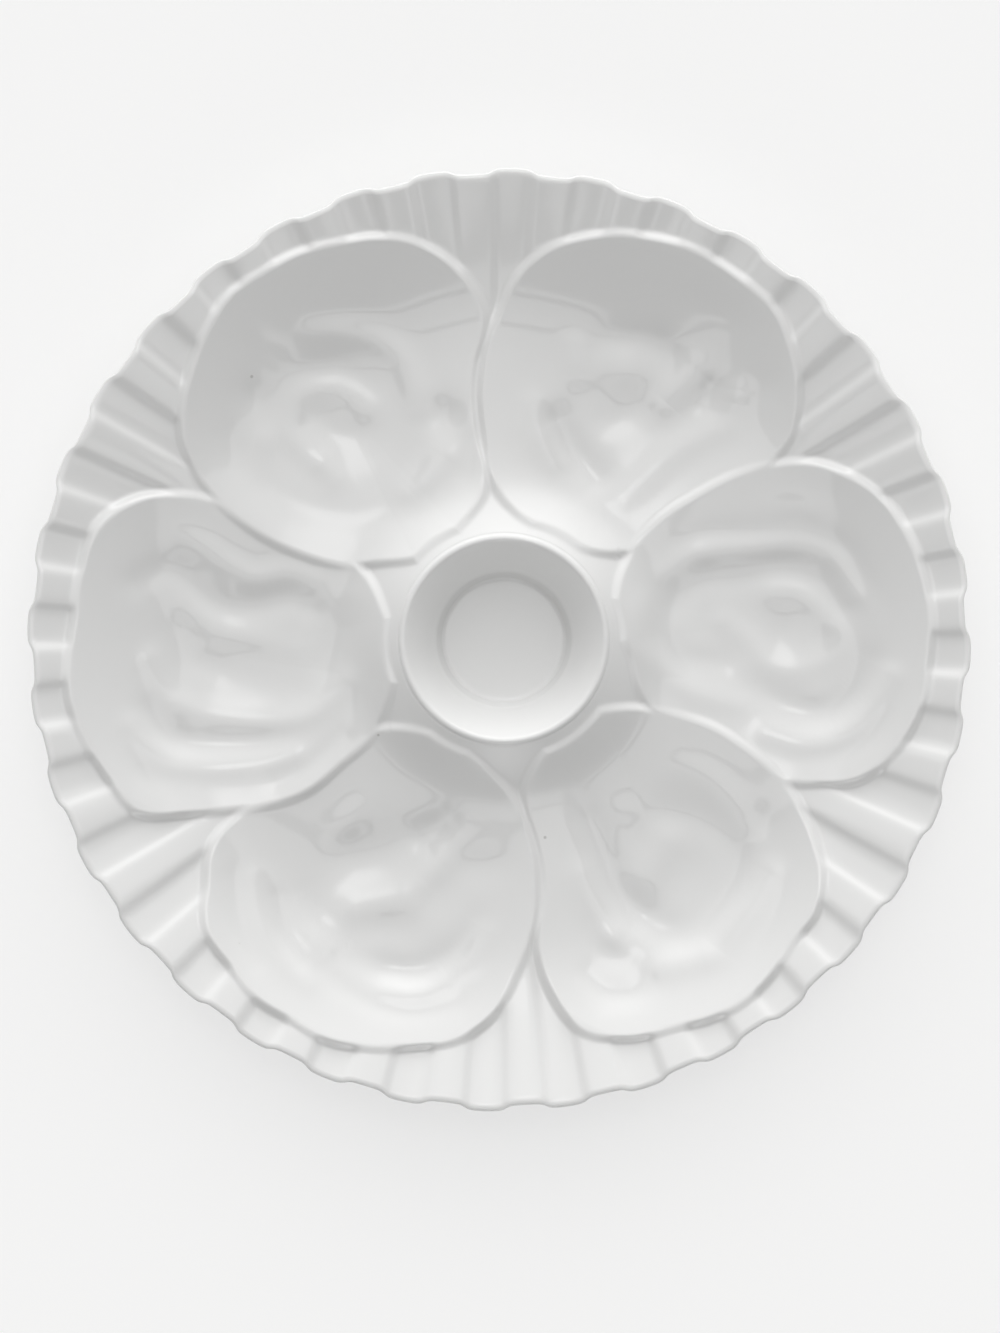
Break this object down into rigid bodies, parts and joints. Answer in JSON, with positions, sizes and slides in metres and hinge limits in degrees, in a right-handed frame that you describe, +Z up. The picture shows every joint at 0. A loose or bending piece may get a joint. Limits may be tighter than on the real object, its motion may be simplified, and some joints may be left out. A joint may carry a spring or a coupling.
{
  "type": "oyster plate",
  "caption": "Round fluted porcelain dish whose irregular shell-shaped wells overlap round a raised central sauce cup, on a foot ring.",
  "frame": {"origin": "centre of the foot ring's resting plane", "axes": "+Z up, out of the wells; +Y towards the top of the picture, between the two upper wells; +X to its right"},
  "size_m": [0.25, 0.2498, 0.0224],
  "materials": {
    "white_glaze": "gloss",
    "bare_foot": "matte"
  },
  "bodies": {
    "root": {"fluted_rim": "white_glaze", "oyster_well_1": "white_glaze", "oyster_well_2": "white_glaze", "oyster_well_3": "white_glaze", "oyster_well_4": "white_glaze", "oyster_well_5": "white_glaze", "oyster_well_6": "white_glaze", "cup_collar": "white_glaze", "sauce_cup": "white_glaze", "foot_ring": "bare_foot"}
  },
  "joints": []
}
